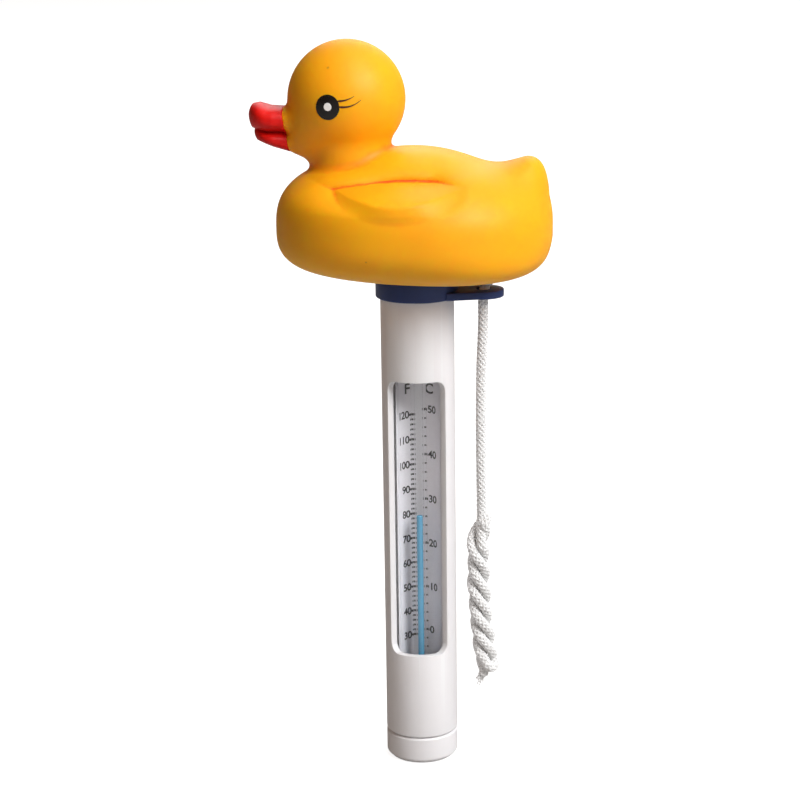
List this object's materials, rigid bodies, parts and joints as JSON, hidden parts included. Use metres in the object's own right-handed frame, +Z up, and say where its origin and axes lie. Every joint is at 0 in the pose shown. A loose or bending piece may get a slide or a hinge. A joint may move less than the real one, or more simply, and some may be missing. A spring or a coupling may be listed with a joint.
{
  "type": "floating pool thermometer",
  "caption": "Pool thermometer hung in the water under a hollow vinyl duck float, with a windowed tube, an enclosed-scale spirit thermometer and a tether.",
  "frame": {"origin": "on the tube's axis at the waterline, the plane in which the duck floats", "axes": "+Z up along the tube, the duck looks along -X, the tether lug points to +X, the window faces -Y"},
  "size_m": [0.0883, 0.068, 0.221],
  "materials": {
    "duck_vinyl": "satin moulded soft vinyl",
    "beak_paint": "sprayed satin red",
    "eye_ink": "printed gloss black",
    "navy_plastic": "satin moulded",
    "white_plastic": "satin moulded",
    "clear_glass": "clear drawn glass",
    "scale_paper": "printed coated paper",
    "blue_spirit": "dyed liquid",
    "grey_rubber": "moulded",
    "foam": "soft foam disc",
    "stopper_plastic": "moulded",
    "ballast_steel": "turned",
    "cord_braid": "braided polyester"
  },
  "bodies": {
    "float": {"duck_float": "duck_vinyl", "beak": "beak_paint", "eye_left": "eye_ink", "eye_right": "eye_ink"},
    "housing": {"collar_cap": "navy_plastic", "sealing_washer": "grey_rubber", "housing_tube": "white_plastic", "base_cap": "white_plastic", "ballast_weight": "ballast_steel", "lower_bush": "grey_rubber", "top_cushion": "foam", "envelope_glass": "clear_glass", "envelope_stopper": "stopper_plastic", "scale_card": "scale_paper", "stem_glass": "clear_glass", "spirit_reservoir": "blue_spirit", "tether_knot": "cord_braid"},
    "spirit": {"spirit_column": "blue_spirit"},
    "tether": {"tether_cord": "cord_braid", "tether_hank": "cord_braid"}
  },
  "joints": [
    {"name": "float_swivel", "type": "hinge", "parent": "float", "child": "housing", "pos_m": [0, 0, -0.0125], "axis": [0, 0, 1], "range_deg": [-30, 30]},
    {"name": "reading", "type": "slide", "parent": "housing", "child": "spirit", "axis": [0, 0, 1], "range_m": [-0.0394, 0.0318], "deforming": ["spirit_column"]},
    {"name": "tether_swing", "type": "hinge", "parent": "housing", "child": "tether", "pos_m": [0.0196, 0, -0.0223], "axis": [0, -1, 0], "range_deg": [-2, 50]}
  ]
}
